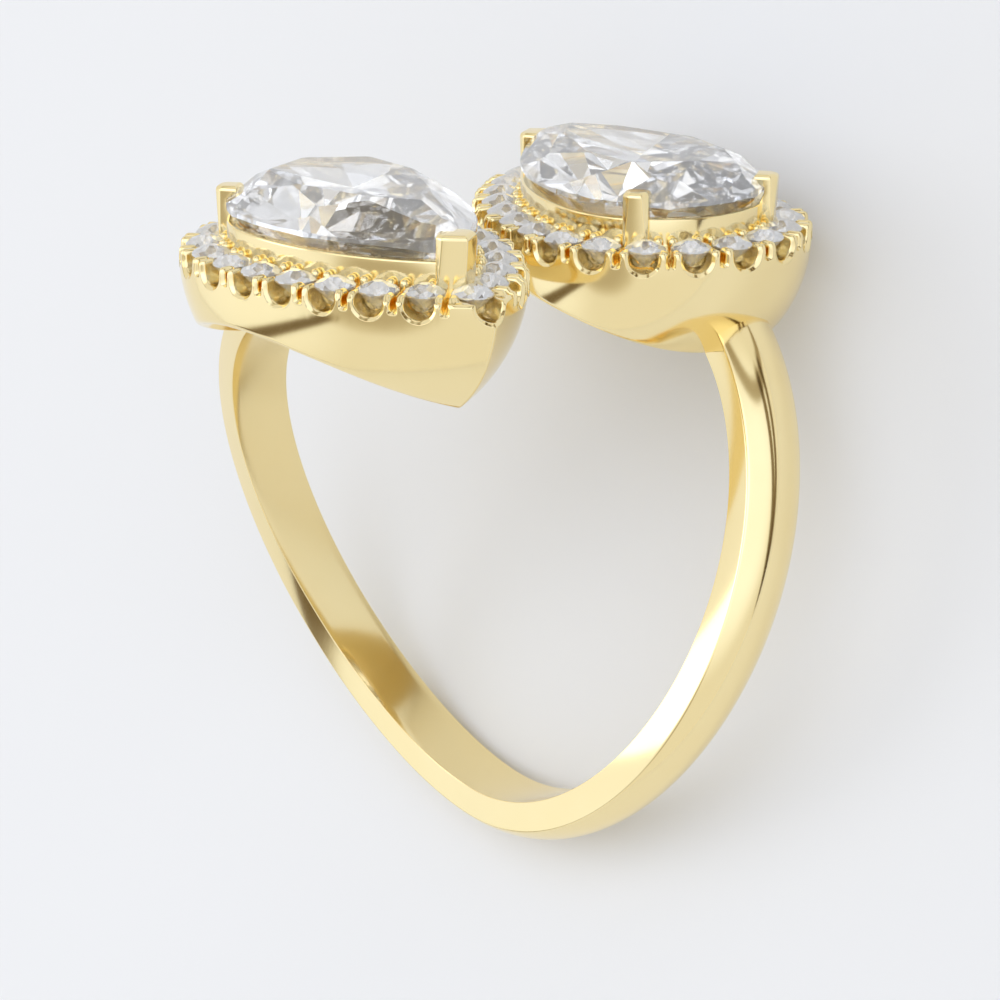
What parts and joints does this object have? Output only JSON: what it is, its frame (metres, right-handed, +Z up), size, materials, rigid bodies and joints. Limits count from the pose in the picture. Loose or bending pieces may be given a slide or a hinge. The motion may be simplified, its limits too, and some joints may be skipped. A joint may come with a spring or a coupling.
{
  "type": "toi et moi ring",
  "caption": "Open bypass finger ring in gold whose band ends in twin pear-shaped clear stones, each framed by a halo of small round stones.",
  "frame": {"origin": "on the floor, under the middle of the footprint of the ring as it rests on its side", "axes": "+Z up from the floor; the finger hole leans in the YZ plane, its axis running from low at +Y to high at -Y; the settings point towards +Y, -X and slightly up; X across"},
  "size_m": [0.0212, 0.0238, 0.0183],
  "materials": {
    "gold": "polished 18 carat yellow gold",
    "main_stones": "colourless faceted diamond, polished",
    "small_stones": "colourless faceted diamond, polished"
  },
  "bodies": {
    "root": {"ring_metal": "gold", "pear_stone_near": "main_stones", "pear_stone_far": "main_stones", "small_stones_near": "small_stones", "small_stones_far": "small_stones"}
  },
  "joints": []
}
